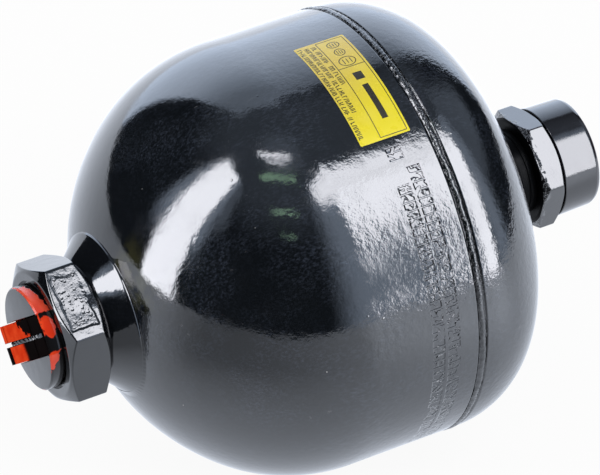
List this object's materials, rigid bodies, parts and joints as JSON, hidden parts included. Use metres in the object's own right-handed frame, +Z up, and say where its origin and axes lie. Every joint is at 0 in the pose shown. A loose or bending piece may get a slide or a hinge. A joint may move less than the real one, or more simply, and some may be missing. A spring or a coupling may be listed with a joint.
{
  "type": "diaphragm accumulator",
  "caption": "Welded diaphragm accumulator, with a hexagonal fluid port and transit plug at one end and a gas charging valve under a protective cap at the other.",
  "frame": {"origin": "centre of the fluid port, in the plane of its sealing face", "axes": "+X along the vessel's axis from the fluid port to the gas end, +Z up as the vessel lies on its side"},
  "size_m": [0.1916, 0.1366, 0.1366],
  "materials": {
    "shell_paint": "gloss black paint with orange peel",
    "weld_paint": "gloss black paint over weld ripples",
    "fitting_paint": "gloss black paint on turned and forged steel",
    "valve_paint": "gloss black paint on a machined hexagon",
    "ring_steel": "turned steel",
    "button_steel": "turned steel",
    "sealing_steel": "plated steel",
    "spring_steel": "drawn spring wire",
    "core_brass": "turned brass",
    "diaphragm_rubber": "moulded nitrile rubber",
    "seal_rubber": "moulded nitrile rubber",
    "plug_plastic": "red moulded plastic, mostly under black overspray",
    "cap_plastic": "satin black moulded plastic",
    "label_film": "yellow printed film"
  },
  "bodies": {
    "vessel": {"fluid_shell": "shell_paint", "gas_shell": "shell_paint", "girth_weld": "weld_paint", "clamp_ring": "ring_steel", "diaphragm": "diaphragm_rubber", "port_fitting": "fitting_paint", "port_weld": "weld_paint", "gas_boss": "fitting_paint", "gas_boss_weld": "weld_paint", "valve_body": "valve_paint", "valve_body_ring": "seal_rubber", "core_housing": "core_brass", "core_spring": "spring_steel", "sealing_plug": "sealing_steel", "sealing_ring": "seal_rubber", "rating_label": "label_film"},
    "plug": {"transit_plug": "plug_plastic"},
    "cap": {"protective_cap": "cap_plastic"},
    "button": {"closing_button": "button_steel", "button_washer": "button_steel"},
    "pin": {"core_pin": "core_brass", "core_seal": "seal_rubber"}
  },
  "joints": [
    {"name": "plug_unscrew", "type": "slide", "parent": "vessel", "child": "plug", "axis": [-1, 0, 0], "range_m": [0, 0.018]},
    {"name": "cap_unscrew", "type": "slide", "parent": "vessel", "child": "cap", "axis": [1, 0, 0], "range_m": [0, 0.014]},
    {"name": "diaphragm_stroke", "type": "slide", "parent": "vessel", "child": "button", "axis": [1, 0, 0], "range_m": [0, 0.078], "stiffness_N_per_m": 100, "springref_m": -0.02, "deforming": ["diaphragm"]},
    {"name": "core_press", "type": "slide", "parent": "vessel", "child": "pin", "axis": [-1, 0, 0], "range_m": [0, 0.0012], "stiffness_N_per_m": 800, "springref_m": -0.001, "deforming": ["core_spring"]}
  ]
}
